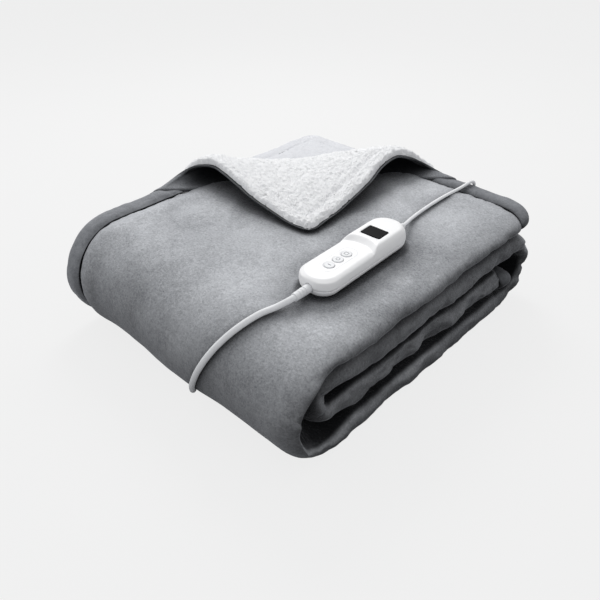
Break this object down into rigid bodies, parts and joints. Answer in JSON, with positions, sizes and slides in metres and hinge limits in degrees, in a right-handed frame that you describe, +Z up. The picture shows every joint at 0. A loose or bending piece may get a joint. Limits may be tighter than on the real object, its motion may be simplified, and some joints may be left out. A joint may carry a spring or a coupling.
{
  "type": "electric heated throw",
  "caption": "Folded and rolled electric heated throw with a turned-back sherpa corner, a hand controller with keys and display, a mains cable and plug, and a plug-in lead.",
  "frame": {"origin": "on the resting surface, at the middle of the folded throw", "axes": "+Z up, +X across the folded throw from its free hems to its rounded folds, +Y along it from the outer turn to the end hem"},
  "size_m": [0.356, 0.3892, 0.1415],
  "materials": {
    "grey_plush": "short-pile flannel plush",
    "white_sherpa": "curly sherpa pile",
    "label_satin": "woven satin",
    "wire_sheath": "heat-resistant sheath",
    "white_plastic": "fine satin moulding",
    "key_plastic": "soft-touch keys",
    "screen_black": "polished window",
    "display_grey": "display frame",
    "board_green": "solder mask",
    "component_black": "moulded epoxy",
    "component_blue": "film capacitor case",
    "can_metal": "drawn can",
    "screw_steel": "zinc plated",
    "cable_white": "smooth PVC sheath",
    "contact_brass": "tinned contact",
    "pin_metal": "nickel plated pins",
    "sleeve_black": "insulating sleeve",
    "latch_grey": "ribbed latch keys"
  },
  "bodies": {
    "throw": {"plush_face": "grey_plush", "sherpa_back": "white_sherpa", "side_hems": "grey_plush", "end_hems": "grey_plush", "corner_fold_roll": "grey_plush", "care_label": "label_satin", "heating_wire": "wire_sheath", "wire_splices": "contact_brass", "socket_housing": "white_plastic", "socket_contacts": "contact_brass", "controller_top_shell": "white_plastic", "controller_bottom_shell": "white_plastic", "display_window": "screen_black", "display_module": "display_grey", "tact_switches": "component_black", "circuit_board": "board_green", "triac": "component_black", "thermal_fuse": "can_metal", "dropper_capacitor": "component_blue", "smoothing_capacitor": "can_metal", "control_chip": "component_black", "cable_clamps": "white_plastic", "case_screws": "screw_steel", "mains_strain_relief": "cable_white", "lead_strain_relief": "cable_white", "mains_cable": "cable_white", "lead_cable": "cable_white", "mains_plug_body": "white_plastic", "plug_pins": "pin_metal", "pin_sleeves": "sleeve_black"},
    "corner_flap": {"flap_plush": "grey_plush", "flap_sherpa": "white_sherpa", "flap_hem": "white_sherpa"},
    "power_key": {"power_button": "key_plastic"},
    "timer_key": {"timer_button": "key_plastic"},
    "heat_key": {"heat_button": "key_plastic"},
    "lead_coupler": {"coupler_body": "white_plastic", "coupler_contacts": "contact_brass", "coupler_boot": "cable_white"},
    "latch_upper": {"latch_button_upper": "latch_grey"},
    "latch_lower": {"latch_button_lower": "latch_grey"}
  },
  "joints": [
    {"name": "corner_fold", "type": "hinge", "parent": "throw", "child": "corner_flap", "pos_m": [-0.06838, 0.07262, 0.1251], "axis": [-0.7071, -0.7071, 0], "range_deg": [0, 173], "deforming": ["corner_fold_roll"]},
    {"name": "power_press", "type": "slide", "parent": "throw", "child": "power_key", "axis": [0, 0, -1], "range_m": [0, 0.0008], "stiffness_N_per_m": 400, "springref_m": -0.0004},
    {"name": "timer_press", "type": "slide", "parent": "throw", "child": "timer_key", "axis": [0, 0, -1], "range_m": [0, 0.0008], "stiffness_N_per_m": 400, "springref_m": -0.0004},
    {"name": "heat_press", "type": "slide", "parent": "throw", "child": "heat_key", "axis": [0, 0, -1], "range_m": [0, 0.0008], "stiffness_N_per_m": 400, "springref_m": -0.0004},
    {"name": "coupler_unplug", "type": "slide", "parent": "throw", "child": "lead_coupler", "axis": [1, 0, 0], "range_m": [0, 0.018], "deforming": ["lead_cable"]},
    {"name": "latch_upper_squeeze", "type": "slide", "parent": "lead_coupler", "child": "latch_upper", "axis": [0, 0, -1], "range_m": [0, 0.001], "stiffness_N_per_m": 400, "springref_m": -0.0005},
    {"name": "latch_lower_squeeze", "type": "slide", "parent": "lead_coupler", "child": "latch_lower", "axis": [0, 0, 1], "range_m": [0, 0.001], "stiffness_N_per_m": 400, "springref_m": -0.0005}
  ]
}
